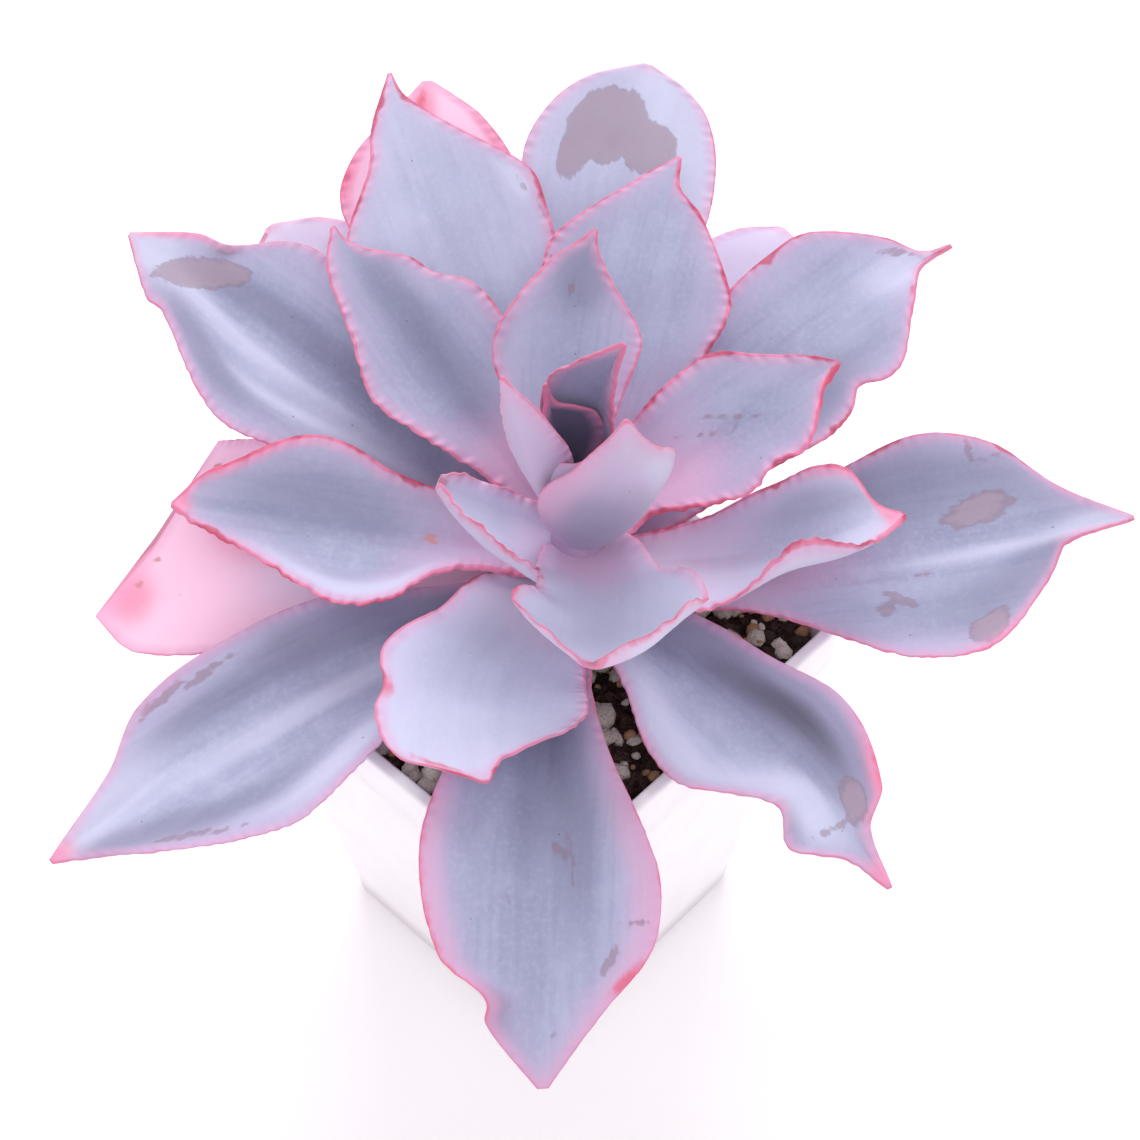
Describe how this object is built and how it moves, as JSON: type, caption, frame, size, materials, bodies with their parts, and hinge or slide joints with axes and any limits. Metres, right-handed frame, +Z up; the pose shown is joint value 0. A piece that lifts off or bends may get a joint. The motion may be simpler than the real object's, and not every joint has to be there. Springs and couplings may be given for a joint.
{
  "type": "potted succulent",
  "caption": "Lavender rosette succulent with wavy pink leaf margins on a short leaning stem, in a tapered white square pot filled with dark soil and pumice.",
  "frame": {"origin": "middle of the pot's underside", "axes": "+Z up out of the pot, X and Y along the pot's sides, the rosette overhanging the rim on every side"},
  "size_m": [0.2055, 0.2215, 0.1863],
  "materials": {
    "pot": "satin",
    "soil": "matte",
    "pumice": "matte",
    "stem": "matte",
    "leaf": "matte"
  },
  "bodies": {
    "root": {"pot": "pot", "soil": "soil", "stem": "stem", "pumice_1": "pumice", "pumice_2": "pumice", "pumice_3": "pumice", "pumice_4": "pumice", "pumice_5": "pumice", "pumice_6": "pumice", "pumice_7": "pumice", "outer_leaf_1": "leaf", "outer_leaf_2": "leaf", "outer_leaf_3": "leaf", "outer_leaf_4": "leaf", "outer_leaf_5": "leaf", "outer_leaf_6": "leaf", "outer_leaf_7": "leaf", "outer_leaf_8": "leaf", "outer_leaf_9": "leaf", "outer_leaf_10": "leaf", "outer_leaf_11": "leaf", "outer_leaf_12": "leaf", "middle_leaf_1": "leaf", "middle_leaf_2": "leaf", "middle_leaf_3": "leaf", "middle_leaf_4": "leaf", "middle_leaf_5": "leaf", "middle_leaf_6": "leaf", "inner_leaf_1": "leaf", "inner_leaf_2": "leaf", "inner_leaf_3": "leaf", "heart_leaf_1": "leaf", "heart_leaf_2": "leaf", "heart_leaf_3": "leaf", "heart_leaf_4": "leaf", "heart_leaf_5": "leaf"}
  },
  "joints": []
}
